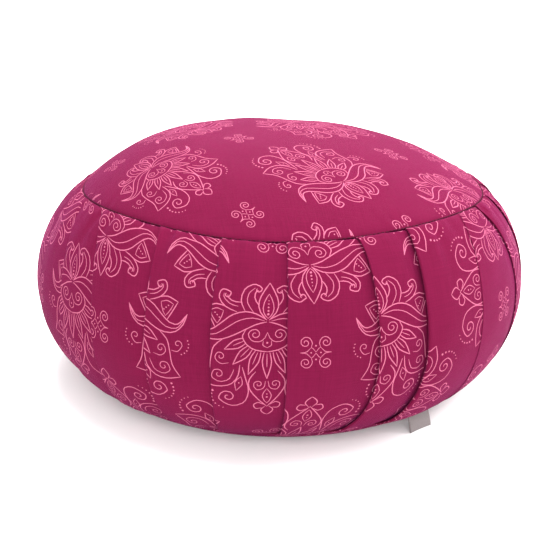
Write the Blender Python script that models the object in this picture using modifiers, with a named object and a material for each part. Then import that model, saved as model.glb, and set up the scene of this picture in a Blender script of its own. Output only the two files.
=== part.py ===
"""A zafu: a round meditation cushion. A band of knife pleats holds the fill between a domed top panel and a
bottom panel with a flat foot, and a small bare label is caught in the bottom seam.

Metres, +Z up. The origin is the middle of the foot, on the surface that the cushion rests on, and its
front faces -Y. Azimuths are degrees from the front, positive towards +X.
"""

import math

import bmesh
import bpy

NAME = "zafu_cushion"

# Driving dimensions, in metres.
BELLY_RADIUS = 0.180
BELLY_HEIGHT = 0.0744
TOP_SEAM_RADIUS = 0.1457
TOP_SEAM_HEIGHT = 0.1437
CROWN_HEIGHT = 0.181
BOTTOM_SEAM_RADIUS = 0.1475
BOTTOM_SEAM_HEIGHT = 0.012
FOOT_RADIUS = 0.116
PANEL_THICKNESS = 0.002
SEAM_DIP = 0.0015  # how deep the two seams are drawn in
SEAM_GAP = 0.0003  # between the pieces that meet at a seam
FILL_GAP = 0.0005  # between a panel and the filled body that it lies on
EDGE_ROOM = 0.0006  # further room under a panel's edge, where it dives into the seam

# The side is two quarters of a rounded curve, (out / wide)^SEAM_ROUNDNESS + (up / tall)^BELLY_ROUNDNESS = 1.
# The fill has slid a little, so the crown leans.
SEAM_ROUNDNESS = 1.41
BELLY_ROUNDNESS = 1.95
CROWN_ROUNDNESS = 2.85
CROWN_LEAN = -0.0188
TOP_SEAM_SHIFT = 0.0019
FOOT_ROUNDNESS = 2.0

# The top seam sags between the places where the fill holds it up: in front, behind and at both sides.
SEAM_SAG = 0.0019
SAGS = 4
SAG_TURN = 1.0

# A knife pleat: its folded edge stands proud, its face swells, and its far side is tucked under the next.
PLEAT_SWELL = 0.35
EDGE_SOFTNESS = 0.2  # how far the folded edge is rounded down, as a share of the step
EDGE_SHARE = 0.06
FLATTENED_AT_SEAM = 0.6  # the share of its step that a pleat loses where it is sewn down
PLEAT_COLUMNS = (0.0, EDGE_SHARE, 0.25, 0.5, 0.75, 0.92, 0.985)

# The folded edges that the front shows: azimuth at the top seam, the belly and the bottom seam, and the step.
FRONT_PLEATS = (
    # top, belly, bottom, step
    (-70.0, -54.0, -55.0, 0.0020),
    (-57.0, -41.5, -42.0, 0.0020),
    (-31.8, -27.4, -26.5, 0.0022),
    (-14.8, -13.3, -15.0, 0.0028),
    (0.7, 1.6, -0.5, 0.0030),
    (17.4, 20.0, 12.0, 0.0038),
    (31.6, 31.2, 24.7, 0.0046),
    (51.9, 47.1, 49.0, 0.0020),
    (62.5, 66.3, 69.0, 0.0028),
)
# The rest, from the last of those round the back to the first: evenly laid, each a little off its place.
BACK_PLEATS = 14
BACK_WANDER = 1.6
BACK_SLANT = 2.2
BACK_STEP = 0.0028
BACK_STEP_WANDER = 0.0005

SIDE_ROWS = 18
# Rings of the two round panels, from the seam in, as shares of the way from the middle to the seam.
CROWN_RINGS = (0.965, 0.88, 0.74, 0.55, 0.3)
FOOT_RINGS = (0.81, 0.55, 0.28, 0.0)
PANEL_COLUMNS = 96

LABEL_AZIMUTH = 39.4
LABEL_WIDTH = 0.0195
LABEL_LENGTH = 0.0122
LABEL_THICKNESS = 0.001
LABEL_OUT = 0.001  # from the bottom seam to the label's sewn end
LABEL_DOWN = 0.0007
LABEL_SLOPES = (66.0, 80.0)  # degrees below level, at its sewn end and at its free end
LABEL_STEPS = 6

CLOTH = (0.36, 0.028, 0.105)
LABEL_CLOTH = (0.29, 0.26, 0.27)
SHARP_ANGLE = 40.0
# A finish: roughness, metallic.
CLOTH_FINISH = (0.85, 0.0)
LABEL_FINISH = (0.75, 0.0)


def material(name, colour, finish):
    made = bpy.data.materials.new(name)
    made.use_nodes = True
    shader = made.node_tree.nodes["Principled BSDF"]
    shader.inputs["Base Color"].default_value = (*colour, 1.0)
    shader.inputs["Roughness"].default_value = finish[0]
    shader.inputs["Metallic"].default_value = finish[1]
    made.diffuse_color = (*colour, 1.0)
    return made


def polar(radius, azimuth, height, shift=0.0):
    """A point at an azimuth from the front, round a centre that is shifted along X."""
    turn = math.radians(azimuth)
    return (shift + radius * math.sin(turn), -radius * math.cos(turn), height)


def loft(name, rings, ends, look, parent):
    """A closed body through rings of points, closed by a fan at each end. ends are its two middle points."""
    shape = bmesh.new()
    rows = [[shape.verts.new(point) for point in ring] for ring in rings]
    first, last = (shape.verts.new(point) for point in ends)
    count = len(rows[0])
    for i in range(count):
        j = (i + 1) % count
        shape.faces.new((first, rows[0][i], rows[0][j]))
        shape.faces.new((last, rows[-1][j], rows[-1][i]))
        for above, below in zip(rows, rows[1:]):
            shape.faces.new((above[i], below[i], below[j], above[j]))
    bmesh.ops.recalc_face_normals(shape, faces=shape.faces)
    mesh = bpy.data.meshes.new(name)
    shape.to_mesh(mesh)
    shape.free()
    mesh.shade_smooth()
    mesh.set_sharp_from_angle(angle=math.radians(SHARP_ANGLE))
    mesh.materials.append(look)
    made = bpy.data.objects.new(name, mesh)
    made.parent = parent
    bpy.data.collections[NAME].objects.link(made)
    return made


def pleats():
    """Every pleat's row, in order round the cushion, as in FRONT_PLEATS."""
    last, first = FRONT_PLEATS[-1], FRONT_PLEATS[0]
    rows = list(FRONT_PLEATS)
    for i in range(1, BACK_PLEATS + 1):
        share = i / (BACK_PLEATS + 1)
        place = [a + share * (b + 360 - a) for a, b in zip(last[:3], first[:3])]
        off = BACK_WANDER * math.sin(5.1 * i)
        slant = BACK_SLANT * math.sin(2.3 * i + 1)
        step = BACK_STEP + BACK_STEP_WANDER * math.sin(3.7 * i)
        rows.append((place[0] + off + slant, place[1] + off, place[2] + off - slant, step))
    return rows


def pleat_columns():
    """(this pleat, the next one, the share of the way between them, the step there) for each column."""
    rows = pleats()
    following = rows[1:] + [tuple(value + 360 for value in rows[0][:3]) + rows[0][3:]]
    columns = []
    for here, after in zip(rows, following):
        for share in PLEAT_COLUMNS:
            columns.append((here, after, share, here[3] + share * (after[3] - here[3])))
    return columns


def fold_azimuth(pleat, height):
    """Where a folded edge runs. height is 1 at the top seam, 0 at the belly and -1 at the bottom seam."""
    top, belly, bottom = pleat[:3]
    end = top if height > 0 else bottom
    return belly + (end - belly) * height * height


def column_azimuth(column, height):
    here, after, share = column[:3]
    start = fold_azimuth(here, height)
    return start + share * (fold_azimuth(after, height) - start)


def pleat_depth(share):
    """How deep a pleat's face lies below its proudest line, in steps, from its folded edge to the tuck."""
    softened = EDGE_SOFTNESS * max(0.0, 1 - share / EDGE_SHARE)
    return share - PLEAT_SWELL * math.sin(math.pi * share) + softened


def top_seam_level(azimuth):
    """The height of the top seam before it is drawn in."""
    return TOP_SEAM_HEIGHT - SEAM_SAG * math.cos(math.radians(SAGS * (azimuth + SAG_TURN)))


def side_point(height, azimuth, depth=0.0):
    """A point of the side, sunk below its outline. height is 1 at the top seam and -1 at the bottom one."""
    top = height > 0
    wide = BELLY_RADIUS - (TOP_SEAM_RADIUS if top else BOTTOM_SEAM_RADIUS)
    tall = (top_seam_level(azimuth) if top else BOTTOM_SEAM_HEIGHT) - BELLY_HEIGHT
    up = math.sin(math.radians(90 * abs(height)))
    out = (1 - up**BELLY_ROUNDNESS) ** (1 / SEAM_ROUNDNESS)
    normal_out = SEAM_ROUNDNESS * out ** (SEAM_ROUNDNESS - 1) / wide
    normal_up = BELLY_ROUNDNESS * up ** (BELLY_ROUNDNESS - 1) / tall
    sink = depth / math.hypot(normal_out, normal_up)
    radius = BELLY_RADIUS - wide * (1 - out) - sink * normal_out
    level = BELLY_HEIGHT + tall * up - sink * normal_up
    return polar(radius, azimuth, level, TOP_SEAM_SHIFT * up * up if top else 0.0)


def side_ring(height, columns):
    """One ring of pleats, deepest at the belly and flattened towards the seams."""
    ring = []
    for column in columns:
        share, step = column[2:]
        depth = step * pleat_depth(share) * (1 - FLATTENED_AT_SEAM * abs(height) ** 3)
        ring.append(side_point(height, column_azimuth(column, height), depth))
    return ring


def crown_rings(azimuths, seam_radius, lower, edge_room=0.0):
    """The top panel's rings from the seam in, lowered by so much, and the middle point."""
    seam_lower = SEAM_DIP + lower + edge_room
    rings = [[polar(seam_radius, a, top_seam_level(a) - seam_lower, TOP_SEAM_SHIFT) for a in azimuths]]
    for share in CROWN_RINGS:
        shift = TOP_SEAM_SHIFT + CROWN_LEAN * (1 - share * share)
        drop = share**CROWN_ROUNDNESS
        ring = []
        for a in azimuths:
            level = CROWN_HEIGHT - (CROWN_HEIGHT - top_seam_level(a)) * drop - lower
            ring.append(polar(share * TOP_SEAM_RADIUS, a, level, shift))
        rings.append(ring)
    return rings, (TOP_SEAM_SHIFT + CROWN_LEAN, 0.0, CROWN_HEIGHT - lower)


def foot_rings(azimuths, seam_radius, higher, edge_room=0.0):
    """The bottom panel's rings from the seam in, raised by so much, and the middle point."""
    seam_level = BOTTOM_SEAM_HEIGHT + SEAM_DIP + higher + edge_room
    rings = [[polar(seam_radius, a, seam_level) for a in azimuths]]
    for share in FOOT_RINGS:
        radius = FOOT_RADIUS + share * (BOTTOM_SEAM_RADIUS - FOOT_RADIUS)
        level = BOTTOM_SEAM_HEIGHT * share**FOOT_ROUNDNESS + higher
        rings.append([polar(radius, a, level) for a in azimuths])
    return rings, (0.0, 0.0, higher)


def side_band(look, parent):
    """The filled body: the crown under the top panel, the pleated side, and the foot on the bottom panel."""
    columns = pleat_columns()
    top_azimuths = [column_azimuth(column, 1) for column in columns]
    bottom_azimuths = [column_azimuth(column, -1) for column in columns]
    crown_edge, foot_edge = TOP_SEAM_RADIUS + SEAM_GAP / 2, BOTTOM_SEAM_RADIUS + SEAM_GAP / 2
    under = PANEL_THICKNESS + FILL_GAP
    crown, crown_middle = crown_rings(top_azimuths, crown_edge, under, EDGE_ROOM)
    foot, foot_middle = foot_rings(bottom_azimuths, foot_edge, under, EDGE_ROOM)
    top_edge = crown_rings(top_azimuths, crown_edge, 0.0)[0][:1]
    bottom_edge = foot_rings(bottom_azimuths, foot_edge, 0.0)[0][:1]
    side = [side_ring(1 - 2 * row / SIDE_ROWS, columns) for row in range(1, SIDE_ROWS)]
    rings = crown[::-1] + top_edge + side + bottom_edge + foot
    return loft("side_band", rings, (crown_middle, foot_middle), look, parent)


def round_panel(name, rings_of, seam_radius, inward, look, parent):
    """A round panel of even thickness: its outer rings, its edge in the seam, and its inner rings."""
    azimuths = [360 * i / PANEL_COLUMNS for i in range(PANEL_COLUMNS)]
    outer, outer_middle = rings_of(azimuths, seam_radius - SEAM_GAP / 2, 0.0)
    inner, inner_middle = rings_of(azimuths, seam_radius - SEAM_GAP / 2, inward)
    return loft(name, outer[::-1] + inner, (outer_middle, inner_middle), look, parent)


def label(look, parent):
    """A folded tab, as one strip that leaves the bottom seam and bends down towards the surface."""
    shape = bmesh.new()
    radius = BOTTOM_SEAM_RADIUS + LABEL_OUT
    level = BOTTOM_SEAM_HEIGHT + SEAM_DIP - LABEL_DOWN
    step = LABEL_LENGTH / LABEL_STEPS
    rows = []
    for i in range(LABEL_STEPS + 1):
        rows.append([shape.verts.new((side * LABEL_WIDTH / 2, -radius, level)) for side in (-1, 1)])
        slope = LABEL_SLOPES[0] + (LABEL_SLOPES[1] - LABEL_SLOPES[0]) * (i + 0.5) / LABEL_STEPS
        radius += step * math.cos(math.radians(slope))
        level -= step * math.sin(math.radians(slope))
    for near, far in zip(rows, rows[1:]):
        shape.faces.new((near[0], far[0], far[1], near[1]))
    bmesh.ops.recalc_face_normals(shape, faces=shape.faces)
    mesh = bpy.data.meshes.new("label")
    shape.to_mesh(mesh)
    shape.free()
    mesh.materials.append(look)
    made = bpy.data.objects.new("label", mesh)
    cloth = made.modifiers.new("cloth", "SOLIDIFY")
    cloth.thickness = LABEL_THICKNESS
    cloth.offset = 0
    made.rotation_euler.z = math.radians(LABEL_AZIMUTH)
    made.parent = parent
    bpy.data.collections[NAME].objects.link(made)
    return made


def build():
    for old in list(bpy.data.objects):
        bpy.data.objects.remove(old)
    parts = bpy.data.collections.new(NAME)
    bpy.context.scene.collection.children.link(parts)
    cushion = bpy.data.objects.new("cushion", None)
    parts.objects.link(cushion)
    cotton = material("printed_cotton", CLOTH, CLOTH_FINISH)
    tape = material("label_tape", LABEL_CLOTH, LABEL_FINISH)
    side_band(cotton, cushion)
    round_panel("top_panel", crown_rings, TOP_SEAM_RADIUS, PANEL_THICKNESS, cotton, cushion)
    round_panel("bottom_panel", foot_rings, BOTTOM_SEAM_RADIUS, PANEL_THICKNESS, cotton, cushion)
    label(tape, cushion)


build()
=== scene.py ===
"""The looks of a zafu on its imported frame: a printed cotton cover with a band of knife pleats between two
round panels, sewn seams, and a bare folded label in the bottom seam.

The frame is in metres. The cloth's own plane, in which the print is drawn, is in millimetres. On the band, x
runs round it and y up it, with 0 at the belly. On a round panel, both start at its middle. Azimuths are
degrees from the front, positive towards +X.
"""

import math

import bpy
import numpy as np
from mathutils import Matrix, Vector
from mathutils.geometry import delaunay_2d_cdt


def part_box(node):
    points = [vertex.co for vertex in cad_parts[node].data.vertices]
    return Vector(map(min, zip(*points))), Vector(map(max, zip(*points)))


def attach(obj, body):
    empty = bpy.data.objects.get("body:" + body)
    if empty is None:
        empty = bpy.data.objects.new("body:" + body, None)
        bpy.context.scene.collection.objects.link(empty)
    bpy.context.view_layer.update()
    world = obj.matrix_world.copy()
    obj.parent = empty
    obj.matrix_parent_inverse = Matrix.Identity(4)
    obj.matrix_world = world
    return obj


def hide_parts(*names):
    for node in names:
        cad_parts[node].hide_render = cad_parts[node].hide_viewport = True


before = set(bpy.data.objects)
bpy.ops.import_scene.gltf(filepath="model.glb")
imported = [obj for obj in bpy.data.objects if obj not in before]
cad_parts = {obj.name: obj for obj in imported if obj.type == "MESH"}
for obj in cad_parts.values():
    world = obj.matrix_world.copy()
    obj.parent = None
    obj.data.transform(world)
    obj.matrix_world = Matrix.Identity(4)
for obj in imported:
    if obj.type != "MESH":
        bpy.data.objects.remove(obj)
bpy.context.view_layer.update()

MM = 0.001
SEED = 7

# Sizes of the filled body that the frame gives, in metres.
SEAM_GAP = 0.0003  # between the pieces that meet at a seam
panel_low, panel_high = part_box("top_panel")
foot_low, foot_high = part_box("bottom_panel")
TOP_SEAM_RADIUS = (panel_high.y - panel_low.y + SEAM_GAP) / 2
TOP_SEAM_SHIFT = (panel_high.x + panel_low.x) / 2
CROWN_HEIGHT = panel_high.z
BOTTOM_SEAM_RADIUS = (foot_high.y - foot_low.y + SEAM_GAP) / 2

# Sizes that it doesn't give, as the solids have them.
BELLY_RADIUS = 0.180
BELLY_HEIGHT = 0.0744
TOP_SEAM_HEIGHT = 0.1437
FOOT_RADIUS = 0.116
SEAM_DIP = 0.0015
SEAM_ROUNDNESS = 1.41
BELLY_ROUNDNESS = 1.95
CROWN_ROUNDNESS = 2.85
CROWN_LEAN = -0.0188
SEAM_SAG = 0.0019
SAGS = 4
SAG_TURN = 1.0
PLEAT_SWELL = 0.35
FLATTENED_AT_SEAM = 0.6

# Sizes that only the scene has.
BOTTOM_SEAM_HEIGHT = 0.011  # 1 mm lower than the solids'
FOOT_ROUNDNESS = 2.8  # how late the base lifts off the floor, beyond the foot
PANEL_THICKNESS = 0.0012
FILL_UNDER = 0.0025  # from a panel's face to the filled body under it
SIDE_SAMPLES, PANEL_SAMPLES = 2001, 401  # of the curves that are measured

# The folded edges that the front shows: azimuths and then steps in mm, both at the top seam, the belly and
# the bottom seam, and the mm of cloth hidden in the pleat.
FRONT_PLEATS = (
    ((-70.0, -54.0, -55.0), (2.6, 2.2, 1.8), 35.0),
    ((-57.0, -41.5, -42.0), (2.4, 1.8, 1.8), 39.2),
    ((-31.8, -27.4, -26.5), (3.2, 2.8, 2.6), 46.6),
    ((-14.8, -13.3, -15.0), (3.2, 3.0, 2.8), 44.0),
    ((0.7, 1.6, -0.5), (3.2, 3.2, 3.0), 39.4),
    ((17.4, 20.0, 12.0), (3.8, 3.8, 3.2), 27.6),
    ((31.6, 31.2, 24.7), (4.8, 4.8, 3.6), 35.0),
    ((51.9, 47.1, 49.0), (0.8, 0.4, 0.5), 35.0),
    ((62.5, 66.3, 69.0), (4.2, 1.0, 0.6), 35.0),
)
BACK_PLEATS = 14
BACK_WANDER = 1.6
BACK_SLANT = 2.2
BACK_STEP = 2.0
BACK_STEP_WANDER = 0.5
BACK_HIDDEN = 35.0

# How the cloth is folded: the roll of its edge, and the tuck under the next edge.
LIP_SHARE = 0.26  # the roll's radius, as a share of the step
TUCK = 0.010
TUCK_DROP = 0.1  # how much deeper the tuck lies at its end, as a share of the step
SEAM_PRESS = 0.5  # the further share of its step that a fold loses at a seam
SEAM_PRESS_REACH = 3.0  # mm

# How uneven the cloth is: the lengths of its waves, and their height. They fade within CALM mm of a seam.
BAND_SWELLS = ((0.16, 0.12, 0.09, 0.07), 0.00055)
BAND_RIPPLES = ((0.034, 0.027, 0.022, 0.018), 0.00010)
CROWN_SWELLS = ((0.15, 0.11, 0.08, 0.065), 0.0006)
CROWN_RIPPLES = ((0.034, 0.027, 0.022), 0.00010)
CALM = 12.0

# What the seams do to the cloth. Heights are in metres, and distances from the seam in mm.
GROOVE_DEPTH = 0.0018
GROOVE_WIDTH = 1.1
PUCKER = 0.00030
PUCKER_REACH = 9.0
PUCKERS = (61, 83, 97, 119)  # waves round the seam
GATHER = 0.0012
GATHER_START = 6.0
GATHER_REACH = 22.0
GATHERS = ((43, 0.5, 1.0), (59, 2.0, 0.8), (71, 0.0, 0.6))  # troughs round the seam, phase and share
GATHER_CREST = 0.5  # the most that it rises between them

# Rows and columns of the cloth's mesh: distances in mm, and in metres across a pleat.
GRID = 3.2
ROW_PITCH = 4.2
BAND_NEAR_SEAM = (0, 0.4, 0.9, 1.6, 2.6, 4.2, 6.4, 9.4)
LIP_TURNS = (-0.6, -0.2, 0.2, 0.6, 1.0)  # shares of a quarter turn, round the folded edge
FACE_ENDS = 0.006  # what the even columns leave of a face's width
AFTER_LIP = 0.0015
BEFORE_NEXT = 0.004
LAST_COLUMNS = (0.0022, 0.0009, 0.0)  # before the next edge
TUCK_COLUMNS = (0.3, 0.65, 1.0)  # shares of the tuck
UNDER_COLUMN = 0.65  # share of the way from the roll to the cloth's end under it
PANEL_EDGE_POINTS = 300
PANEL_NEAR_SEAM = (0.4, 0.9, 1.6, 2.6, 4.0, 6.0)
PANEL_GRID_START = 7.5
# Rings of plain faces in or under a panel: share of the way to the seam, and how much deeper they lie.
INNER_RINGS = ((0.996, 0.0008), (0.95, 0), (0.8, 0), (0.5, 0))
FILL_FOOT_RINGS = ((0.996, 0.0012), (0.92, 0), (0.5, 0))

# The stitches and the label, in metres.
STITCH_PITCH = 0.0029
STITCH_LENGTH = 0.0023
STITCH_RADIUS = 0.00034
STITCH_LIFT = 0.0008  # from the groove's bottom
STITCH_SHAPE = ((-1, 0.15), (-0.8, 0.8), (0, 1.0), (0.8, 0.8), (1, 0.15))  # shares: along it, and thickness
STITCH_SIDES = 6
LABEL_AZIMUTH = 39.4
LABEL_WIDTH = 0.0195
LABEL_LENGTH = 0.0122
LABEL_OUT = 0.001
LABEL_DOWN = 0.0002
LABEL_SLOPES = (66.0, 80.0)  # downwards, at the seam and at the fold
LABEL_FOLD = 0.00042  # half of the room between the tape's two layers, at the fold
LABEL_PRESSED = 0.45  # the share of that room at the seam
LABEL_THICKNESS = 0.00032
LABEL_CURL = 0.0005
LABEL_STEPS = 12
LABEL_FOLD_STEPS = 8
LABEL_COLUMNS = 17

# The print, in mm.
LINE = 0.66
FINE = 0.50
TAPER = 2.2  # from a line's end, in which it gets thinner
END_WIDTH = 0.5  # its share there
VOLUTE_POINTS = 8  # a turn
VOLUTE_WINDING = 0.8  # under 1, it winds in faster at first
PRINT_REACH = 70.0  # more than a flower's farthest point from its middle
FLOWER_RISE = 23.0  # from the flower's junction to the middle of its height
# Pitches: column to column, flower to flower in a column, and every other column's rise as a share of that.
BAND_PITCHES = (69.0, 153.0, 0.52)
CROWN_PITCHES = (74.2, 138.9, 0.5)
CROWN_PRINT_SIZE = 0.88  # of the band's
PRINT_PANEL = 3  # the front panel from whose middle the band's print is counted
BAND_PRINT_START = (11.5, 5.0)  # an upright flower's place from there
# Two panels of the band have their own: pitches, turn, and an upright flower's place from the panel's
# middle. The first is cut across the cloth.
OWN_PRINTS = {
    6: ((69.0, 156.0, 0.5), -92.0, (-30.3, 39.6)),
    7: ((82.0, 153.0, 0.5), 0.0, (-80.0, 9.0)),
}
CROWN_PRINT = (CROWN_PITCHES, 44.0, (42.6, -13.2))
BASE_PRINT = (BAND_PITCHES, -15.0, (0.0, 30.0))
# Where the print is cut off, and how short its edges are.
SEAM_MARGIN = 0.5
FOLD_MARGIN = 0.002  # metres past the next edge
PANEL_MARGIN = 8.0  # beyond a panel's half width, for motifs that reach it
BENT_AFTER_EDGE = 0.0026  # metres from an edge in which the cloth bends
BENT_BEFORE_NEXT = 0.001
BENT_STEP = 0.45  # the longest edge there
FREE_STEP = 9.0
LONGEST_EDGE = 3.6
SHARPEST_BEND = 24.0  # degrees
DOT_SIDES = 8
CLEARANCE = 0.75  # between the print's lines and the mesh's own points

# The cottons' colours, a deeper and a lighter one each, and their finish.
GROUND_COLOURS = ((0.094, 0.0035, 0.0222), (0.130, 0.0052, 0.0315))
GROUND_ROUGHNESS = 0.85
INK_COLOURS = ((0.35, 0.080, 0.144), (0.42, 0.105, 0.176))
INK_ROUGHNESS = 0.8
COTTON_FINISH = {
    "Specular IOR Level": 0.03,
    "Sheen Weight": 0.085,
    "Sheen Roughness": 0.40,
    "Sheen Tint": (1.0, 0.18, 0.76, 1),
}
YARN_PITCH = 0.00042
SLUB_SCALES = (1100, 45)  # across a yarn and along it
BLOTCH_SCALE = 22.0
SLUB_TONE, BLOTCH_TONE, WEAVE_TONE, LEAST_TONE = 0.85, 0.35, 0.10, -0.52
# Sewing thread, made near-black so that it also paints the shade in the seams' grooves.
THREAD_AND_SHADE_COLOURS = ((0.030, 0.0013, 0.008), (0.072, 0.004, 0.020))
THREAD_SCALE = 2600.0
TAPE_COLOURS = ((0.125, 0.103, 0.103), (0.215, 0.182, 0.182))
RIB_PITCH, WARP_PITCH = 0.00045, 0.0003
FLECK_SCALE = 2400.0

# The floor, the light and the camera. Lamps: name, place, size and power.
FLOOR_HALF = 6
FLOOR_FINISH = {
    "Base Color": (0.9, 0.9, 0.9, 1),
    "Roughness": 0.9,
    "Specular IOR Level": 0.0,
    "Emission Color": (1, 1, 1, 1),
    "Emission Strength": 0.10,
}
SKY_STRENGTH = 1.15
LAMPS = (
    ("key", (1.25, 0.15, 0.95), 0.8, 24),
    ("back", (0.0, 1.1, 1.1), 1.0, 24),
    ("overhead", (0.0, 0.0, 1.6), 0.8, 36),
    ("front", (0.0, -1.5, 0.8), 1.2, 20),
)
LAMP_AIM = (0, 0, 0.08)
CAMERA_LENS = 65.4545
CAMERA_SENSOR = 36
CAMERA_SHIFT = (-0.0081, -0.0083)
CAMERA_AIM = (0, 0, 0.072)
CAMERA_DISTANCE = 0.765
CAMERA_ELEVATION = 19.10
CAMERA_ROLL = 0.6


# ---- the body's form


def polar(radius, azimuth, level, shift=0.0):
    turn = np.radians(azimuth)
    return np.stack([shift + radius * np.sin(turn), -radius * np.cos(turn), level + 0 * turn], -1)


def azimuth_of(points):
    return np.degrees(np.arctan2(points[:, 0], -points[:, 1]))


def lengths_along(*axes):
    """How far along a line of points each of them is."""
    return np.concatenate([[0], np.cumsum(np.hypot(*(np.diff(axis) for axis in axes)))])


def pleats():
    """The front's pleats, then the back's, evenly laid but for a little, and the first once more."""
    last, first = FRONT_PLEATS[-1], FRONT_PLEATS[0]
    rows = list(FRONT_PLEATS)
    for i in range(1, BACK_PLEATS + 1):
        share = i / (BACK_PLEATS + 1)
        top, belly, bottom = (a + share * (b + 360 - a) for a, b in zip(last[0], first[0]))
        off = BACK_WANDER * math.sin(5.1 * i)
        slant = BACK_SLANT * math.sin(2.3 * i + 1)
        step = BACK_STEP + BACK_STEP_WANDER * math.sin(3.7 * i)
        rows.append(((top + off + slant, belly + off, bottom + off - slant), (step, step, step), BACK_HIDDEN))
    return rows + [(tuple(azimuth + 360 for azimuth in first[0]), *first[1:])]


PLEATS = pleats()
PANELS = len(PLEATS) - 1


def along_fold(values, height):
    """A value along a fold, from its values at the top seam, the belly and the bottom seam."""
    top, belly, bottom = values
    return belly + (np.where(height > 0, top, bottom) - belly) * height * height


def top_seam_level(azimuth):
    return TOP_SEAM_HEIGHT - SEAM_SAG * np.cos(np.radians(SAGS * (azimuth + SAG_TURN)))


def side_outline(height, seam_level):
    """Radius, level and outward normal of the side, and the share of the way up to the top seam."""
    top = height > 0
    wide = BELLY_RADIUS - np.where(top, TOP_SEAM_RADIUS, BOTTOM_SEAM_RADIUS)
    tall = np.where(top, seam_level, BOTTOM_SEAM_HEIGHT) - BELLY_HEIGHT
    up = np.sin(np.pi / 2 * np.abs(height))
    out = np.clip(1 - up**BELLY_ROUNDNESS, 0, 1) ** (1 / SEAM_ROUNDNESS)
    radius, level = BELLY_RADIUS - wide * (1 - out), BELLY_HEIGHT + tall * up
    outward = SEAM_ROUNDNESS * out ** (SEAM_ROUNDNESS - 1) / wide
    upward = BELLY_ROUNDNESS * up ** (BELLY_ROUNDNESS - 1) / tall
    size = np.hypot(outward, upward)
    return radius, level, outward / size, upward / size, up * top


def past_foot(radius):
    """The share of the way from the foot's edge to the bottom seam."""
    return np.clip((radius - FOOT_RADIUS) / (BOTTOM_SEAM_RADIUS - FOOT_RADIUS), 0, 1)


def foot_level(radius):
    return BOTTOM_SEAM_HEIGHT * past_foot(radius) ** FOOT_ROUNDNESS


# The side's height, from -1 at the bottom seam to 1 at the top one, against the cloth's climb in mm.
HEIGHTS = np.linspace(-1, 1, SIDE_SAMPLES)
RADII, LEVELS = side_outline(HEIGHTS, TOP_SEAM_HEIGHT)[:2]
CLIMB = lengths_along(RADII, LEVELS) / MM
CLIMB -= np.interp(0, HEIGHTS, CLIMB)
BAND_LOW, BAND_HIGH = CLIMB[0], CLIMB[-1]

# A round panel's share of the way to its seam, against the cloth's mm from its middle.
SHARES = np.linspace(0, 1, PANEL_SAMPLES)
CROWN_FALL = (CROWN_HEIGHT - TOP_SEAM_HEIGHT) * SHARES**CROWN_ROUNDNESS
CROWN_ARC = lengths_along(SHARES * TOP_SEAM_RADIUS, CROWN_FALL) / MM
FOOT_ARC = lengths_along(SHARES * BOTTOM_SEAM_RADIUS, foot_level(SHARES * BOTTOM_SEAM_RADIUS)) / MM


def waves(points, sizes, height, seed):
    """Soft unevenness: sine waves through space, of the given lengths."""
    draw = np.random.RandomState(seed)
    total = np.zeros(len(points))
    for size in sizes:
        way = draw.normal(size=3)
        way *= 2 * math.pi / size / np.linalg.norm(way)
        total += np.sin(points @ way + draw.uniform(0, 6.28))
    return height * total / math.sqrt(len(sizes))


def pucker(azimuth, mm_from_seam, seed):
    """Small gathers along a seam, uneven round it, that fade out away from it."""
    turn = np.radians(azimuth)
    draw = np.random.RandomState(seed)
    total = sum(np.sin(count * turn + draw.uniform(0, 6.28)) for count in PUCKERS)
    envelope = 0.55 + 0.45 * np.sin(9 * turn + draw.uniform(0, 6.28)) * np.sin(5 * turn + 1)
    return PUCKER * envelope * total / 2 * np.exp(-mm_from_seam / PUCKER_REACH)


def gathers(azimuth, mm_from_seam):
    """Soft upright troughs under the top seam, uneven round it."""
    turn = np.radians(azimuth)
    strength = 0.6 + 0.4 * np.sin(7 * turn + 2.4) * np.sin(4 * turn + 0.6)
    troughs = sum(share * np.sin(count * turn + phase) for count, phase, share in GATHERS)
    fade = np.clip(mm_from_seam / GATHER_START, 0, 1) * np.exp(-mm_from_seam / GATHER_REACH)
    return GATHER * strength * np.minimum(troughs, GATHER_CREST) * fade


def groove(mm_from_seam):
    return GROOVE_DEPTH * np.exp(-mm_from_seam / GROOVE_WIDTH)


# ---- the band of pleats


def panel_sizes(k, climb):
    """Height, radius, the left fold's azimuth, the face's width and both folds' steps, at these climbs."""
    height = np.interp(climb, CLIMB, HEIGHTS)
    radius = np.interp(climb, CLIMB, RADII)
    left, right = (along_fold(PLEATS[j][0], height) for j in (k, k + 1))
    wide = np.radians(right - left) * radius
    from_seam = np.minimum(BAND_HIGH - climb, climb - BAND_LOW)
    press = 1 - SEAM_PRESS * np.exp(-from_seam / SEAM_PRESS_REACH)
    press = MM * (1 - FLATTENED_AT_SEAM * np.abs(height) ** 3) * press
    here, following = (along_fold(PLEATS[j][1], height) * press for j in (k, k + 1))
    return height, radius, left, wide, here, following


def belly_width(k):
    return float(panel_sizes(k, np.array(0.0))[3])


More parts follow.
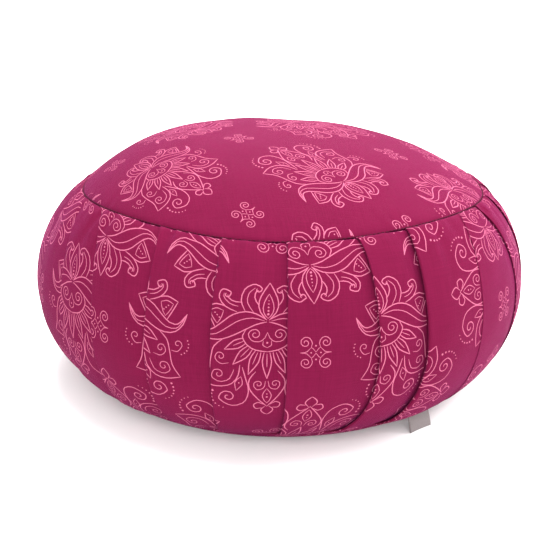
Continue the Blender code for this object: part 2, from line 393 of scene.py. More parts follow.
def band_points(k, flat):
    """Panel k's points for points of its cloth: under its folded edge, round that, and over the face to the
    tuck under the next edge."""
    x, climb = flat[:, 0], flat[:, 1]
    height, radius, left, wide, step_here, step_next = panel_sizes(k, climb)
    s = x * MM + wide / 2
    lip = LIP_SHARE * step_here
    quarter = lip * math.pi / 2
    on_face, behind = s > quarter, s < -quarter
    # how far across the panel each point is
    turn = np.clip(s / lip, -math.pi / 2, math.pi / 2)
    face = s - (quarter - lip) * np.clip((wide - s) / (wide - quarter), 0, 1)
    across = np.where(on_face, face, np.where(behind, lip - s - quarter, lip * (1 - np.cos(turn))))
    # how deep it lies inside the body's outline
    share = np.clip(across / wide, 0, 1)
    step = step_here + (step_next - step_here) * share
    depth = step * (share - PLEAT_SWELL * np.sin(math.pi * share))
    depth += step_next * TUCK_DROP * np.clip((across - wide) / TUCK, 0, 1)
    under = np.clip((across - lip) / (TUCK - lip), 0, 1)
    below = 2 * lip + (step_here * (1 + TUCK_DROP) - 2 * lip) * under
    depth = np.where(on_face, depth, np.where(behind, below, depth + lip * (1 - np.sin(turn))))
    azimuth = left + np.degrees(across / radius)
    ring, level, out, up, shift = side_outline(height, top_seam_level(azimuth))
    from_top, from_bottom = BAND_HIGH - climb, climb - BAND_LOW
    base = polar(ring, azimuth, level)
    calm = np.clip(np.minimum(from_top, from_bottom) / CALM, 0, 1)
    rise = waves(base, *BAND_SWELLS, SEED) * calm
    rise += waves(base, *BAND_RIPPLES, SEED + 1) * calm
    rise += pucker(azimuth, from_top, SEED + 2) + pucker(azimuth, from_bottom, SEED + 3)
    rise += gathers(azimuth, from_top)
    depth = depth - rise
    made = polar(ring - depth * out, azimuth, level - depth * up, TOP_SEAM_SHIFT * shift * shift)
    made[:, 2] -= groove(from_top)
    made[:, 2] += groove(from_bottom)
    return made


def band_rows():
    """The climbs of the band's rows, which are closer together near the seams."""
    low, high = BAND_LOW + BAND_NEAR_SEAM[-1], BAND_HIGH - BAND_NEAR_SEAM[-1]
    count = round((high - low) / ROW_PITCH)
    middle = [low + (high - low) * i / count for i in range(1, count)]
    lowest = [BAND_LOW + d for d in BAND_NEAR_SEAM]
    highest = [BAND_HIGH - d for d in BAND_NEAR_SEAM[::-1]]
    return np.array(lowest + middle + highest)


def panel_columns(k, climb):
    """The cloth's x at each column of panel k, at one climb."""
    wide, step_here = (float(v) for v in panel_sizes(k, np.array(climb))[3:5])
    lip = LIP_SHARE * step_here
    quarter = lip * math.pi / 2
    start = -quarter - (TUCK - lip)
    columns = [start, start * UNDER_COLUMN - quarter * (1 - UNDER_COLUMN), -quarter]
    columns += [quarter * turn for turn in LIP_TURNS]
    count = round((belly_width(k) - FACE_ENDS) / (GRID * MM))
    low, high = quarter + AFTER_LIP, wide - BEFORE_NEXT
    columns += [low + (high - low) * i / count for i in range(count + 1)]
    columns += [wide - d for d in LAST_COLUMNS] + [wide + share * TUCK for share in TUCK_COLUMNS]
    return [(c - wide / 2) / MM for c in columns]


# ---- the print: own drawn lines in mm


def smooth(points, step=0.6):
    """A soft curve through points, as points about step apart."""
    p = np.array(points, float)
    ends = np.vstack([2 * p[0] - p[1], p, 2 * p[-1] - p[-2]])
    made = []
    for a, b, c, d in zip(ends, ends[1:], ends[2:], ends[3:]):
        count = max(2, int(math.hypot(*(c - b)) / step))
        t = (np.arange(count) / count)[:, None]
        made.append(b + 0.5 * t * (c - a + t * (2 * a - 5 * b + 4 * c - d + t * (3 * (b - c) + d - a))))
    return np.vstack(made + [p[-1:]])


def volute(points, centre, turns, inner):
    """A curve through points that then winds in round centre, down to the radius inner."""
    p = [np.array(q, float) for q in points]
    arm = p[-1] - centre
    ahead = p[-1] - p[-2]
    side = 1 if arm[0] * ahead[1] - arm[1] * ahead[0] > 0 else -1
    radius, start = math.hypot(*arm), math.atan2(arm[1], arm[0])
    count = max(4, round(turns * VOLUTE_POINTS))
    for i in range(1, count + 1):
        share = i / count
        r = radius + (inner - radius) * share**VOLUTE_WINDING
        angle = start + side * share * turns * 2 * math.pi
        p.append(centre + r * np.array((math.cos(angle), math.sin(angle))))
    return smooth(p)


def lotus():
    """The flower: lines of its right half, each with a width, and dots beside and on the middle line."""
    lines, dots, middle = [], [], []

    def line(width, *points):
        lines.append((smooth(points), width))

    def scroll(width, points, centre, turns, inner=0.8):
        lines.append((volute(points, centre, turns, inner), width))

    def arc_of_dots(centre, radius, degrees, size, growth=0.0):
        for i, a in enumerate(np.radians(degrees)):
            place = centre[0] + radius * math.cos(a), centre[1] + radius * math.sin(a)
            dots.append((*place, size + growth * i))

    # the middle petal, with a smaller one and dots in it
    line(LINE, (0, 23.5), (3, 18.4), (5.6, 12.2), (5.2, 6.2), (1, 0.6))
    line(FINE, (0, 16.6), (2.3, 12.2), (3.2, 7.6), (2.2, 3.8), (0, 1.4))
    middle += [(0, 4 + 2.1 * i, 0.72 - 0.1 * i) for i in range(5)]
    # the tall petal, whose tip curls in
    scroll(LINE, [(13.8, 5.6), (16.2, 11.6), (14.6, 18.4), (9.4, 22), (4.8, 20.6)], (6.6, 18.9), 0.75, 0.7)
    line(LINE, (5.4, 8.8), (8.2, 13.2), (8, 17.2), (6.4, 18.4))
    line(FINE, (8.6, 4.8), (12.4, 10.4), (12, 16), (8.4, 19.8))
    # the low petal, whose tip curls in too
    scroll(LINE, [(18.4, 4.6), (25.4, 7.4), (29.4, 12.4), (28, 17.4), (23.2, 17)], (24.8, 14.8), 0.8, 0.7)
    line(LINE, (15.8, 10.6), (20.4, 10.8), (23.6, 12.4), (24.4, 14.4))
    line(FINE, (17.8, 8), (22.6, 9.2), (26.4, 12.6), (26.6, 15.4))
    # a leaf like a flag, with dots
    line(LINE, (24.6, 7.1), (30.4, 8.6), (37.4, 6.2))
    line(LINE, (37.4, 6.2), (34.6, 0.6), (31.2, -5.4))
    line(FINE, (26.4, 4.8), (30.4, 6), (34.6, 4.4))
    line(FINE, (34.6, 4.4), (32.8, 0.4), (30, -3.2))
    line(FINE, (30, -3.2), (27.6, 0.4), (26.4, 4.8))
    dots.extend((28.7 + 1.4 * i, 0.6 + 1.3 * i, 0.45) for i in range(3))
    # the long leaf with two bands, whose end turns up
    end = (43.8, -0.4)
    line(LINE, (0.6, 0.4), (7, 4), (14, 5), (21.4, 2.4), (27.6, -2.8), (33.4, -7), (38.8, -6.8), end)
    line(FINE, (2, -0.2), (9, 1.4), (17, -0.6), (24.4, -5.6), (31.2, -9.8), (38.4, -9.2), end)
    low = [(0.6, -0.8), (6.6, -2.4), (13.4, -6), (20.6, -10), (28.2, -12.9), (36, -12.4), (41.4, -7.4)]
    line(LINE, *low, end)
    # the half round, with two scrolls and a drop
    line(LINE, (12.8, -6), (14.6, -10.6), (11.4, -16), (6, -18.9), (0, -19.8))
    scroll(FINE, [(0, -7.4), (1.4, -10.8), (4.4, -13.2), (8.8, -12.8), (11.2, -9.4)], (7.2, -8.7), 1.35)
    line(FINE, (2.4, -12.6), (2.6, -15.4), (0, -17.2))
    middle.append((0, -14, 0.6))
    # a fan of petals round it
    for i, length in enumerate((18, 16.5, 15.5, 13.5)):
        a = math.radians(21 * i)
        way = np.array((math.sin(a), -math.cos(a)))
        foot = np.array((0, -6)) + way * (14.2 + 0.9 * math.sin(a))
        across = np.array((-way[1], way[0]))
        tip = foot + length * way
        for s in (1, -1) if i else (1,):
            line(LINE, foot + s * 1.7 * across, foot + 0.42 * length * way + s * 2.7 * across, tip)
        line(FINE, *(foot + way * share * length for share in (0.05, 0.3, 0.55)))
    # a large leaf at the side, with two scrolls in it
    line(LINE, (26.4, -12.6), (31.6, -17.4), (33.6, -25), (35, -34), (39.6, -42))
    line(LINE, (16, -28.6), (17.4, -36.6), (22, -42.4), (30, -44.2), (39.6, -42))
    scroll(FINE, [(22.6, -27.6), (27.4, -28.4), (30.8, -25.4), (30, -21.8)], (27.6, -23.6), 1.0, 0.7)
    curl = [(19.6, -31.8), (22.6, -38.6), (28.4, -40.8), (33, -38), (32.2, -33.6)]
    scroll(FINE, curl, (29, -35.4), 1.1, 0.7)
    # a tendril outside it, with an arc of dots
    scroll(FINE, [(34.6, -24), (38.4, -24.4), (41.2, -21.4)], (38.8, -19.6), 1.0, 0.7)
    arc_of_dots((38.8, -19.6), 6.8, -70 + 19 * np.arange(6), 0.45)
    # the lower scroll, with an arc of dots and a small leaf
    stem = [(14.6, -30), (12.6, -38), (11, -47), (13.8, -56.2), (21.6, -59.4), (28.6, -55)]
    scroll(LINE, stem, (23.6, -52), 1.35, 0.9)
    arc_of_dots((23.6, -52), 10.2, -72 + 16 * np.arange(7), 0.4, 0.06)
    base, tip = np.array((15.4, -36.4)), np.array((18.6, -47))
    along = tip - base
    across = np.array((-along[1], along[0])) / math.hypot(*along)
    for s in (-1, 1):
        line(FINE, base, base + 0.45 * along + s * 2.3 * across, tip)
    dots.append((16.7, -41, 0.45))
    # the pendant, with two scrolls and a drop in it, and three small petals at its tip
    line(LINE, (6.6, -33), (10.4, -38.4), (10.6, -45), (6.2, -52.8), (0, -60.6))
    scroll(FINE, [(0.8, -40), (1.8, -44.8), (5.6, -46.4), (8, -43.2)], (5, -42.2), 1.15, 0.6)
    line(FINE, (0, -45.6), (2.6, -50.2), (2, -54.6), (0, -57.6))
    middle += [(0, -50, 0.45), (0, -52.4, 0.6)]
    line(LINE, (2.2, -58.6), (5, -56.8), (8, -58.6), (6.8, -62), (3.2, -61.8))
    line(LINE, (1.2, -60.4), (3.6, -63.4), (2.6, -66.4), (0, -68.6))
    raised = [(points + (0, FLOWER_RISE), width) for points, width in lines]
    dots = [(x, y + FLOWER_RISE, r) for x, y, r in dots]
    middle = [(x, y + FLOWER_RISE, r) for x, y, r in middle]
    return mirrored(raised, dots, middle, (1, -1), (1,))


def scrolls():
    """The small ornament: two diamonds with a dot in each, four volutes from their corners, and more dots."""
    lines = [(volute([(2.8, 3.4), (2.1, 5.8), (3.2, 8.8), (5.6, 9.9)], (6.1, 6.4), 1.35, 0.7), FINE)]
    lines.append((smooth([(0, 0.3), (1.2, 2.2), (2.8, 3.4)]), FINE))
    lines.append((smooth([(2.8, 3.4), (4.2, 1.6), (6, 0.4), (9.4, 0)]), FINE))
    lines, dots = mirrored(lines, [], [(0, 4.4, 0.55)], (1, -1), (1, -1))
    return lines, dots + [(2.9, 0, 0.5), (-2.9, 0, 0.5)]


def mirrored(lines, dots, middle, flips_x, flips_y):
    """The lines and dots with their mirror images. Each line's widths taper to its ends."""
    made, round_dots = [], []
    for points, width in lines:
        along = lengths_along(*points.T)
        from_end = np.clip(np.minimum(along, along[-1] - along) / TAPER, 0, 1)
        widths = width * (END_WIDTH + (1 - END_WIDTH) * from_end * (2 - from_end))
        made += [(points * (fx, fy), widths) for fx in flips_x for fy in flips_y]
    for fy in flips_y:
        round_dots += [(x * fx, y * fy, r) for x, y, r in dots for fx in flips_x]
        round_dots += [(x, y * fy, r) for x, y, r in middle]
    return made, round_dots


LOTUS, SCROLLS = lotus(), scrolls()


def turned(degrees):
    a = math.radians(degrees)
    return np.array(((math.cos(a), -math.sin(a)), (math.sin(a), math.cos(a))))


def layout(low, high, pitches, turn, start):
    """(motif, place, its turn in degrees) for each motif that can reach the box from low to high."""
    low, high = np.array(low), np.array(high)
    column, row, next_column = pitches
    spin = turned(turn)
    size = math.hypot(*(high - low)) + 2 * PRINT_REACH
    middle = round(((high + low) / 2 @ spin)[0] / column)
    columns, rows = int(size / column / 2) + 2, int(size / row / 2) + 2
    found = []
    for i in range(middle - columns, middle + columns + 1):
        for j in range(-rows, rows + 1):
            for motif, higher in ((LOTUS, 0.0), (SCROLLS, 0.5)):
                y = (j + next_column * (i % 2) + higher) * row + start[1]
                place = spin @ (i * column + start[0], y)
                if (place > low - PRINT_REACH).all() and (place < high + PRINT_REACH).all():
                    found.append((motif, place, turn + 180 * (i % 2)))
    return found


def stroke_outline(points, widths, closeness):
    """The closed outline of a line of these widths, with more points where it bends or has to be closer."""
    step = np.hypot(*np.diff(points, axis=0).T)
    heading = np.unwrap(np.arctan2(*np.diff(points, axis=0).T[::-1]))
    bend = np.abs(np.diff(heading, prepend=heading[:1]))
    cost = np.maximum(step / LONGEST_EDGE, bend / math.radians(SHARPEST_BEND))
    cost = np.maximum(cost, step / closeness[1:])
    rank = np.concatenate([[0], np.cumsum(cost)])
    rank *= math.ceil(rank[-1]) / rank[-1]
    chosen = np.searchsorted(rank, np.arange(math.ceil(rank[-1])) - 1e-9)
    chosen = np.unique(chosen.tolist() + [len(points) - 1])
    p, w = points[chosen], widths[chosen]
    ahead = np.gradient(p, axis=0)
    side = np.stack([-ahead[:, 1], ahead[:, 0]], -1) / np.hypot(*ahead.T)[:, None]
    return np.vstack([p - side * w[:, None] / 2, (p + side * w[:, None] / 2)[::-1]])


def print_on(placed, inside, closeness, size=1.0):
    """The outlines of the motifs placed on a cloth, kept to where inside says, and their middle lines."""
    outlines, near = [], []
    corners = [(math.cos(a), math.sin(a)) for a in np.arange(DOT_SIDES) * 2 * math.pi / DOT_SIDES]
    for (lines, dots), place, turn in placed:
        spin = turned(-turn)
        for points, widths in lines:
            moved = size * points @ spin + place
            shown = np.concatenate([[False], inside(moved), [False]])
            edges = np.flatnonzero(np.diff(shown.astype(int)))
            for start, end in zip(edges[::2], edges[1::2]):
                if end - start > 2:
                    run = moved[start:end]
                    outlines.append(stroke_outline(run, widths[start:end], closeness(run)))
                    near.append(run)
        for x, y, r in dots:
            ring = size * np.array((x, y)) @ spin + place + r * np.array(corners)
            if inside(ring).all():
                outlines.append(ring)
                near.append(ring)
    return outlines, np.vstack(near) if near else np.zeros((0, 2))


def clear_of(points, near):
    """The points that are not beside the print's lines."""
    if not len(near):
        return points
    taken = set()
    for x, y in np.floor(near / CLEARANCE).astype(int):
        taken.update((x + i, y + j) for i in (-1, 0, 1) for j in (-1, 0, 1))
    keep = [tuple(cell) not in taken for cell in np.floor(points / CLEARANCE).astype(int)]
    return points[np.array(keep)]


# ---- meshes of printed cloth


def triangulated(border, inner, outlines, round_border=False):
    """Triangles of a printed piece of cloth: points, triangles, whether each is ink, and each border point's
    index."""
    points = np.vstack([border] + outlines + [inner])
    faces, first = [], len(border)
    for ring in outlines:
        faces.append(list(range(first, first + len(ring))))
        first += len(ring)
    if not round_border:
        faces.append(list(range(len(border))))
    vectors = [Vector(p) for p in points]
    kind = 0 if round_border else 1
    flat, _, triangles, of_points, _, of_faces = delaunay_2d_cdt(vectors, [], faces, kind, 1e-5, True)
    ink = np.array([bool(owners) and min(owners) < len(outlines) for owners in of_faces])
    place = {origin: i for i, origins in enumerate(of_points) for origin in origins}
    return np.array([v[:] for v in flat]), np.array(triangles), ink, [place[i] for i in range(len(border))]


def normals_of(surface, flat, nudge=0.06):
    """The surface's normals at points of the cloth."""
    along = surface(flat + (nudge, 0)) - surface(flat - (nudge, 0))
    up = surface(flat + (0, nudge)) - surface(flat - (0, nudge))
    normal = np.cross(along, up)
    size = np.linalg.norm(normal, axis=1, keepdims=True)
    return normal / np.maximum(size, 1e-12)


def linked(name, mesh, looks, uv=None):
    """A smooth object of the mesh, with its materials and its cloth's map, linked to the scene."""
    for look in looks:
        mesh.materials.append(look)
    if uv is not None:
        layer = mesh.uv_layers.new(name="cloth")
        layer.uv.foreach_set("vector", np.array(uv, np.float32).ravel())
    mesh.shade_smooth()
    made = bpy.data.objects.new(name, mesh)
    bpy.context.scene.collection.objects.link(made)
    return made


def cloth_object(name, points, normals, triangles, ink, uv, looks):
    """Printed cloth: its print is faces of the second material. The plain points and faces, which come after
    the printed ones, get Blender's own normals and the first material."""
    mesh = bpy.data.meshes.new(name)
    mesh.from_pydata(points.tolist(), [], triangles.tolist())
    ink = np.concatenate([ink, np.zeros(len(triangles) - len(ink), bool)])
    normals = np.vstack([normals, np.zeros((len(points) - len(normals), 3))])
    made = linked(name, mesh, looks, uv * MM)
    mesh.polygons.foreach_set("material_index", ink.astype(np.int32))
    mesh.validate()
    mesh.normals_split_custom_set_from_vertices(normals.tolist())
    return made


def crown_ring(share, azimuths, lower=0.0):
    level = CROWN_HEIGHT - (CROWN_HEIGHT - top_seam_level(azimuths)) * share**CROWN_ROUNDNESS - lower
    return polar(share * TOP_SEAM_RADIUS, azimuths, level, TOP_SEAM_SHIFT + CROWN_LEAN * (1 - share * share))


def foot_ring(share, azimuths, higher=0.0):
    radius = share * BOTTOM_SEAM_RADIUS
    return polar(radius, azimuths, foot_level(radius) + higher)


def crown_middle(lower):
    return TOP_SEAM_SHIFT + CROWN_LEAN, 0, CROWN_HEIGHT - lower


def lidded(points, triangles, loop, rings, middle, flip):
    """Adds rings inward from a loop of points, and a fan to the middle."""
    first = len(points)
    rows = [list(loop)]
    for ring in rings:
        rows.append(list(range(first, first + len(ring))))
        first += len(ring)
    made = []
    for near, far in zip(rows, rows[1:]):
        for i in range(len(near)):
            j = (i + 1) % len(near)
            made += [(near[i], near[j], far[j]), (near[i], far[j], far[i])]
    made += [(rows[-1][i], rows[-1][(i + 1) % len(loop)], first) for i in range(len(loop))]
    made = np.array(made)
    return np.vstack([points, *rings, [middle]]), np.vstack([triangles, made[:, ::-1] if flip else made])


# ---- the pleated band


def print_offset():
    """The cloth's x at the first fold, counted so that the middle of PRINT_PANEL is at 0."""
    x = 0.0
    for k in range(PRINT_PANEL + 1):
        belly = belly_width(k) / MM
        x -= belly / 2 if k == PRINT_PANEL else belly + PLEATS[k + 1][2]
    return x


def panel_print(k, cloth_x):
    """The print on panel k, whose middle is at cloth_x of the band's cloth, as print_on gives it."""

    def inside(flat):
        _, _, _, wide, step, _ = panel_sizes(k, flat[:, 1])
        s = flat[:, 0] * MM + wide / 2
        level = (flat[:, 1] > BAND_LOW + SEAM_MARGIN) & (flat[:, 1] < BAND_HIGH - SEAM_MARGIN)
        return level & (s > -LIP_SHARE * step) & (s < wide + FOLD_MARGIN)

    def closeness(flat):
        wide = panel_sizes(k, flat[:, 1])[3]
        s = flat[:, 0] * MM + wide / 2
        return np.where((s < BENT_AFTER_EDGE) | (s > wide - BENT_BEFORE_NEXT), BENT_STEP, FREE_STEP)

    reach = belly_width(k) / MM / 2 + PANEL_MARGIN
    if k in OWN_PRINTS:
        placed = layout((-reach, BAND_LOW), (reach, BAND_HIGH), *OWN_PRINTS[k])
    else:
        low, high = (cloth_x - reach, BAND_LOW), (cloth_x + reach, BAND_HIGH)
        found = layout(low, high, BAND_PITCHES, 0.0, BAND_PRINT_START)
        placed = [(motif, place - (cloth_x, 0.0), turn) for motif, place, turn in found]
    return print_on(placed, inside, closeness)


def from_least(points, loop):
    """A closed loop of points, started at its least azimuth, and its azimuths in rising order."""
    azimuths = azimuth_of(points[loop])
    first = int(np.argmin(azimuths))
    return loop[first:] + loop[:first], np.sort(azimuths)


def side_band(looks):
    """The pleated band round the fill, with the fill's faces under the two panels."""
    rows = band_rows()
    points, normals, triangles, inks, uvs = [], [], [], [], []
    on_folds, total, cloth_x = {}, 0, print_offset()
    top_loop, bottom_loop = [], []
    for k in range(PANELS):
        half = belly_width(k) / MM / 2
        cloth_x += half
        grid = np.array([[(x, climb) for x in panel_columns(k, climb)] for climb in rows])
        border = np.vstack([grid[0, :-1], grid[:-1, -1], grid[-1, :0:-1], grid[:0:-1, 0]])
        outlines, near = panel_print(k, cloth_x)
        inner = clear_of(grid[1:-1, 1:-1].reshape(-1, 2), near)
        flat, faces, ink, edge = triangulated(border, inner, outlines)
        # the border runs along the bottom, up the right side, back along the top and down the left side
        tall, wide = len(rows) - 1, grid.shape[1] - 1
        right = edge[wide : wide + tall + 1]
        left = edge[:1] + edge[: 2 * wide + tall - 1 : -1]
        top = edge[wide + tall + 1 : 2 * wide + tall + 1][::-1]
        sides = [((k, row), i) for row, i in enumerate(left)]
        sides += [(((k + 1) % PANELS, row), i) for row, i in enumerate(right)]
        # a fold's points are made once, by the first panel that has them
        index = np.full(len(flat), -1)
        for place, i in sides:
            index[i] = on_folds.get(place, -1)
        kept = np.flatnonzero(index < 0)
        index[kept] = total + np.arange(len(kept))
        on_folds.update((place, index[i]) for place, i in sides)
        total += len(kept)

        def surface(cloth, k=k):
            return band_points(k, cloth)

        points.append(surface(flat[kept]))
        normals.append(normals_of(surface, flat[kept]))
        triangles.append(index[faces])
        inks.append(ink)
        uvs.append((flat + (cloth_x, 0.0))[faces].reshape(-1, 2))
        bottom_loop += index[edge[:wide]].tolist()
        top_loop += index[top].tolist()
        cloth_x += half + PLEATS[k + 1][2]
    points, triangles = np.vstack(points), np.vstack(triangles)
    printed = len(triangles)
    loop, azimuths = from_least(points, top_loop)
    rings = [crown_ring(share, azimuths, FILL_UNDER + lower) for share, lower in INNER_RINGS]
    points, triangles = lidded(points, triangles, loop, rings, crown_middle(FILL_UNDER), False)
    loop, azimuths = from_least(points, bottom_loop)
    rings = [foot_ring(share, azimuths, FILL_UNDER + higher) for share, higher in FILL_FOOT_RINGS]
    points, triangles = lidded(points, triangles, loop, rings, (0, 0, FILL_UNDER), True)
    uv = np.vstack(uvs + [points[triangles[printed:]].reshape(-1, 3)[:, :2] / MM])
    normals, ink = np.vstack(normals), np.concatenate(inks)
    return cloth_object("pleated_band", points, normals, triangles, ink, uv, looks)


# ---- the two round panels


def crown_points(flat):
    radius = np.hypot(*flat.T)
    azimuth = azimuth_of(flat)
    made = crown_ring(np.interp(radius, CROWN_ARC, SHARES), azimuth)
    from_seam = CROWN_ARC[-1] - radius
    calm = np.clip(from_seam / CALM, 0, 1)
    rise = waves(made, *CROWN_SWELLS, SEED + 5) * calm
    rise += waves(made, *CROWN_RIPPLES, SEED + 6) * calm
    rise += pucker(azimuth, from_seam, SEED + 7)
    made[:, 2] += rise - groove(from_seam)
    return made


def foot_points(flat):
    """The bottom panel, seen from below, so that its cloth faces down."""
    radius = np.hypot(*flat.T)
    azimuth = np.degrees(np.arctan2(-flat[:, 0], -flat[:, 1]))
    share = np.interp(radius, FOOT_ARC, SHARES)
    made = foot_ring(share, azimuth)
    from_seam = FOOT_ARC[-1] - radius
    lifted = past_foot(share * BOTTOM_SEAM_RADIUS)
    made[:, 2] += groove(from_seam) + np.abs(pucker(azimuth, from_seam, SEED + 8)) * lifted
    return made


def round_sheet(name, surface, reach, ring, middle, pattern, size, looks):
    """A round printed panel: its outer face, and a plain inner face a cloth's thickness inside it."""
    around = np.arange(PANEL_EDGE_POINTS) * 2 * math.pi / PANEL_EDGE_POINTS
    circle = np.stack([np.cos(around), np.sin(around)], -1)
    cloth_radius = reach - SEAM_GAP / 2 / MM
    border = circle * cloth_radius
    circles = [circle * (cloth_radius - d) for d in PANEL_NEAR_SEAM]
    half = math.ceil(reach / GRID)
    steps = np.arange(-half, half + 1) * GRID
    lattice = np.array([(x + 0.5 * GRID * (j % 2), y) for j, y in enumerate(steps) for x in steps])
    lattice = lattice[np.hypot(*lattice.T) < cloth_radius - PANEL_GRID_START]

    def inside(flat):
        return np.hypot(*flat.T) < cloth_radius - SEAM_MARGIN

    def closeness(flat):
        return np.full(len(flat), FREE_STEP)

    placed = layout((-reach, -reach), (reach, reach), *pattern)
    outlines, near = print_on(placed, inside, closeness, size)
    inner = clear_of(np.vstack(circles + [lattice]), near)
    flat, faces, ink, edge = triangulated(border, inner, outlines, True)
    points = surface(flat)
    normals = normals_of(surface, flat)
    azimuths = azimuth_of(points[edge])
    rings = [ring(share, azimuths, PANEL_THICKNESS + deeper) for share, deeper in INNER_RINGS]
    points, faces = lidded(points, faces, edge, rings, middle, True)
    flat = np.vstack([flat, points[len(flat):, :2] / MM])
    return cloth_object(name, points, normals, faces, ink, flat[faces].reshape(-1, 2), looks)


# ---- the seams' stitches and the label


def top_stitch_level(azimuth):
    return top_seam_level(azimuth) - GROOVE_DEPTH + STITCH_LIFT


def base_stitch_level(_):
    return BOTTOM_SEAM_HEIGHT + GROOVE_DEPTH - STITCH_LIFT


def stitches(name, radius, level_of, shift, look):
    """A ring of short thread stitches that lie in a seam's groove. Their near-black thread is painted shade
    along the groove.
    """
    count = round(2 * math.pi * radius / STITCH_PITCH)
    points, faces = [], []
    for i in range(count):
        first = len(points)
        for along, thick in STITCH_SHAPE:
            azimuth = 360 * i / count + math.degrees(along * STITCH_LENGTH / 2 / radius)
            for j in range(STITCH_SIDES):
                a = 2 * math.pi * j / STITCH_SIDES
                r = radius + thick * STITCH_RADIUS * math.cos(a)
                level = float(level_of(azimuth)) + thick * STITCH_RADIUS * math.sin(a)
                points.append(polar(r, azimuth, level, shift))
        last = len(points) - STITCH_SIDES
        for start in range(first, last, STITCH_SIDES):
            for j in range(STITCH_SIDES):
                a, b = start + j, start + (j + 1) % STITCH_SIDES
                faces.append((a, a + STITCH_SIDES, b + STITCH_SIDES, b))
        faces.append(list(range(first, first + STITCH_SIDES)))
        faces.append(list(range(last, last + STITCH_SIDES))[::-1])
    mesh = bpy.data.meshes.new(name)
    mesh.from_pydata([tuple(p) for p in points], [], faces)
    return linked(name, mesh, [look])


def tape_path():
    """The folded tape's section, out over the fold and back under it, as (radius, level)."""
    radius = BOTTOM_SEAM_RADIUS + LABEL_OUT
    level = BOTTOM_SEAM_HEIGHT + SEAM_DIP - LABEL_DOWN
    step = (LABEL_LENGTH - LABEL_FOLD) / LABEL_STEPS
    least, most = LABEL_SLOPES
    over, under, turn = [], [], []
    for i in range(LABEL_STEPS + 1):
        slope = math.radians(least + (most - least) * i / LABEL_STEPS)
        room = LABEL_FOLD * (LABEL_PRESSED + (1 - LABEL_PRESSED) * i / LABEL_STEPS)
        over.append((radius + room * math.sin(slope), level + room * math.cos(slope)))
        under.append((radius - room * math.sin(slope), level - room * math.cos(slope)))
        end = np.array((radius, level))
        radius += step * math.cos(slope)
        level -= step * math.sin(slope)
    ahead = np.array((math.cos(slope), -math.sin(slope)))
    up = np.array((math.sin(slope), math.cos(slope)))
    for i in range(1, LABEL_FOLD_STEPS):
        a = math.pi / 2 - math.pi * i / LABEL_FOLD_STEPS
        turn.append(end + LABEL_FOLD * (math.cos(a) * ahead + math.sin(a) * up))
    return np.array(over + turn + under[::-1])


def label(look):
    """A plain woven tape, folded in two, whose ends go into the bottom seam, and its length."""
    path = tape_path()
    along = lengths_along(*path.T)
    columns = np.linspace(-0.5, 0.5, LABEL_COLUMNS) * LABEL_WIDTH
    points, uv, faces = [], [], []
    for (r, z), arc in zip(path, along):
        free = min(1, arc / LABEL_LENGTH, (along[-1] - arc) / LABEL_LENGTH)
        for x in columns:
            points.append((x, -r, z - LABEL_CURL * (2 * x / LABEL_WIDTH) ** 2 * free))
            uv.append((x, arc))
    for i in range(len(path) - 1):
        for j in range(LABEL_COLUMNS - 1):
            a = i * LABEL_COLUMNS + j
            faces.append((a, a + LABEL_COLUMNS, a + LABEL_COLUMNS + 1, a + 1))
    mesh = bpy.data.meshes.new("label_tab")
    mesh.from_pydata(points, [], faces)
    made = linked("label_tab", mesh, [look], [uv[v] for face in faces for v in face])
    mesh.transform(Matrix.Rotation(math.radians(LABEL_AZIMUTH), 4, "Z"))
    tape = made.modifiers.new("tape", "SOLIDIFY")
    tape.thickness = LABEL_THICKNESS
    tape.offset = 0
    return made, along[-1]


# ---- materials


def node(tree, kind, inputs, **settings):
    made = tree.nodes.new("ShaderNode" + kind)
    for key, value in settings.items():
        setattr(made, key, value)
    for key, value in inputs.items():
        if isinstance(value, bpy.types.NodeSocket):
            tree.links.new(value, made.inputs[key])
        else:
            made.inputs[key].default_value = value
    return made.outputs


def maths(tree, operation, *values):
    return node(tree, "Math", dict(enumerate(values)), operation=operation)[0]


def noise(tree, place, scale, detail):
    return node(tree, "TexNoise", {"Vector": place, "Scale": scale, "Detail": detail})[0]


def ridges(tree, along, pitch):
    """A sine wave of this pitch."""
    return maths(tree, "SINE", maths(tree, "MULTIPLY", along, 2 * math.pi / pitch))


def new_look(name, finish):
    """A material, its tree and its shader. The finish is set on the shader's own sockets."""
    made = bpy.data.materials.new(name)
    made.use_nodes = True
    shader = made.node_tree.nodes["Principled BSDF"]
    for socket, value in finish.items():
        shader.inputs[socket].default_value = value
    return made, made.node_tree, shader


def colour_and_bump(tree, shader, tone, colours, relief, height, strength):
    """The first colour where the tone is 0 and the second where it is 1, and bumps as high as the relief."""
    tint = node(tree, "Mix", {0: tone, 6: (*colours[0], 1), 7: (*colours[1], 1)}, data_type="RGBA")[2]
    bump = node(tree, "Bump", {"Height": relief, "Distance": height, "Strength": strength})[0]
    tree.links.new(tint, shader.inputs["Base Color"])
    tree.links.new(bump, shader.inputs["Normal"])


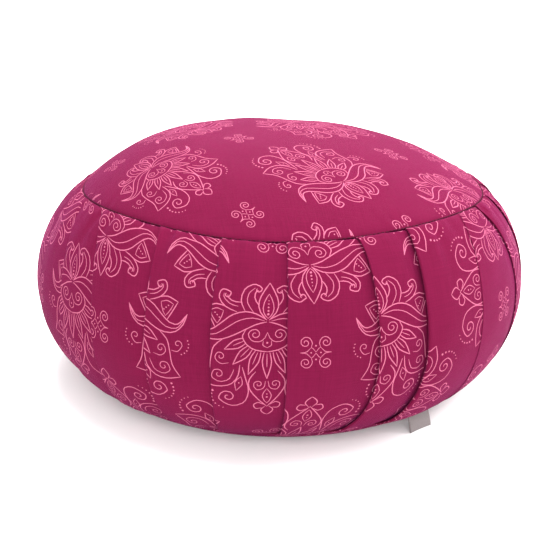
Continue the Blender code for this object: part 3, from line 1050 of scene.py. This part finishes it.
def cotton(name, colours, roughness):
    """Plain-weave cotton: yarns both ways, uneven slubs, soft blotches and a short fuzz."""
    made, tree, shader = new_look(name, {"Roughness": roughness, **COTTON_FINISH})
    cloth = node(tree, "UVMap", {}, uv_map="cloth")[0]
    x, y, _ = node(tree, "SeparateXYZ", {0: cloth})
    weave = maths(tree, "MULTIPLY", ridges(tree, x, YARN_PITCH), ridges(tree, y, YARN_PITCH))
    slubs = []
    for stretch in ((*SLUB_SCALES, 0), (*SLUB_SCALES[::-1], 0)):
        stretched = node(tree, "VectorMath", {0: cloth, 1: stretch}, operation="MULTIPLY")[0]
        slubs.append(noise(tree, stretched, scale=1.0, detail=3.0))
    slub = maths(tree, "ADD", *slubs)
    blotch = noise(tree, cloth, BLOTCH_SCALE, detail=3.0)
    tone = maths(tree, "MULTIPLY_ADD", blotch, BLOTCH_TONE, LEAST_TONE)
    tone = maths(tree, "MULTIPLY_ADD", slub, SLUB_TONE, tone)
    tone = maths(tree, "MULTIPLY_ADD", weave, WEAVE_TONE, tone)
    relief = maths(tree, "MULTIPLY_ADD", weave, 0.5, slub)
    colour_and_bump(tree, shader, tone, colours, relief, height=0.00012, strength=0.6)
    return made


def thread_and_shade_look():
    """Sewing thread, mottled by its plies, and near-black as painted shade along the seams' grooves."""
    made, tree, shader = new_look("seam_thread_and_shade", {"Roughness": 0.6, "Specular IOR Level": 0.08})
    place = node(tree, "TexCoord", {})["Object"]
    ply = noise(tree, place, THREAD_SCALE, detail=2.0)
    colour_and_bump(tree, shader, ply, THREAD_AND_SHADE_COLOURS, ply, height=0.0001, strength=0.6)
    return made


def tape_look():
    """Taupe woven tape: fine ribs across it, with warp threads over them."""
    finish = {"Roughness": 0.55, "Specular IOR Level": 0.35, "Sheen Weight": 0.15}
    made, tree, shader = new_look("label_tape", finish)
    cloth = node(tree, "UVMap", {}, uv_map="cloth")[0]
    x, y, _ = node(tree, "SeparateXYZ", {0: cloth})
    weave = maths(tree, "MULTIPLY_ADD", ridges(tree, x, WARP_PITCH), 0.3, ridges(tree, y, RIB_PITCH))
    fleck = noise(tree, cloth, FLECK_SCALE, detail=2.0)
    tone = maths(tree, "MULTIPLY_ADD", weave, 0.16, fleck)
    colour_and_bump(tree, shader, tone, TAPE_COLOURS, weave, height=0.00006, strength=0.7)
    return made


# ---- floor, light and camera


def stage():
    corners = [(x * FLOOR_HALF, y * FLOOR_HALF, 0) for x, y in ((-1, -1), (1, -1), (1, 1), (-1, 1))]
    mesh = bpy.data.meshes.new("floor")
    mesh.from_pydata(corners, [], [(0, 1, 2, 3)])
    linked("floor", mesh, [new_look("floor", FLOOR_FINISH)[0]])
    world = bpy.data.worlds.new("studio")
    world.use_nodes = True
    sky = world.node_tree.nodes["Background"]
    sky.inputs["Color"].default_value = (1, 1, 1, 1)
    sky.inputs["Strength"].default_value = SKY_STRENGTH
    bpy.context.scene.world = world
    for name, place, size, power in LAMPS:
        light = bpy.data.lights.new(name, "AREA")
        light.energy = power
        light.size = size
        lamp = bpy.data.objects.new(name, light)
        lamp.location = place
        lamp.rotation_euler = (Vector(LAMP_AIM) - Vector(place)).to_track_quat("-Z", "Y").to_euler()
        bpy.context.scene.collection.objects.link(lamp)


def camera():
    """The camera that was fitted to the photo's outline and top seam."""
    data = bpy.data.cameras.new("camera")
    data.lens = CAMERA_LENS
    data.sensor_width = CAMERA_SENSOR
    data.shift_x, data.shift_y = CAMERA_SHIFT
    made = bpy.data.objects.new("camera", data)
    elevation = math.radians(CAMERA_ELEVATION)
    back = Vector((0, -math.cos(elevation), math.sin(elevation)))
    made.location = Vector(CAMERA_AIM) + back * CAMERA_DISTANCE
    made.rotation_mode = "QUATERNION"
    made.rotation_quaternion = (-back).to_track_quat("-Z", "Y")
    made.rotation_mode = "XYZ"
    made.rotation_euler.rotate_axis("Z", math.radians(CAMERA_ROLL))
    bpy.context.scene.collection.objects.link(made)
    bpy.context.scene.camera = made


# ---- the pieces, on the frame

bpy.context.scene.view_settings.view_transform = "Standard"
camera()
stage()

cottons = (
    cotton("cotton_ground", GROUND_COLOURS, GROUND_ROUGHNESS),
    cotton("cotton_print", INK_COLOURS, INK_ROUGHNESS),
)
band = side_band(cottons)
top = round_sheet(
    "crown_panel", crown_points, CROWN_ARC[-1], crown_ring, crown_middle(PANEL_THICKNESS),
    CROWN_PRINT, CROWN_PRINT_SIZE, cottons,
)
bottom = round_sheet(
    "base_panel", foot_points, FOOT_ARC[-1], foot_ring, (0, 0, PANEL_THICKNESS), BASE_PRINT, 1.0, cottons,
)
for piece, node_name in ((band, "side_band"), (top, "top_panel"), (bottom, "bottom_panel")):
    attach(piece, "root")
    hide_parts(node_name)

tab, tape_length = label(tape_look())
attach(tab, "root")
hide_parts("label")

# Near-black stitches: thread, and painted shade along the seams' grooves.
thread = thread_and_shade_look()
for name, radius, level_of, shift in (
    ("top_seam_stitches", TOP_SEAM_RADIUS, top_stitch_level, TOP_SEAM_SHIFT),
    ("base_seam_stitches", BOTTOM_SEAM_RADIUS, base_stitch_level, 0.0),
):
    sewn = stitches(name, radius, level_of, shift, thread)
    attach(sewn, "root")
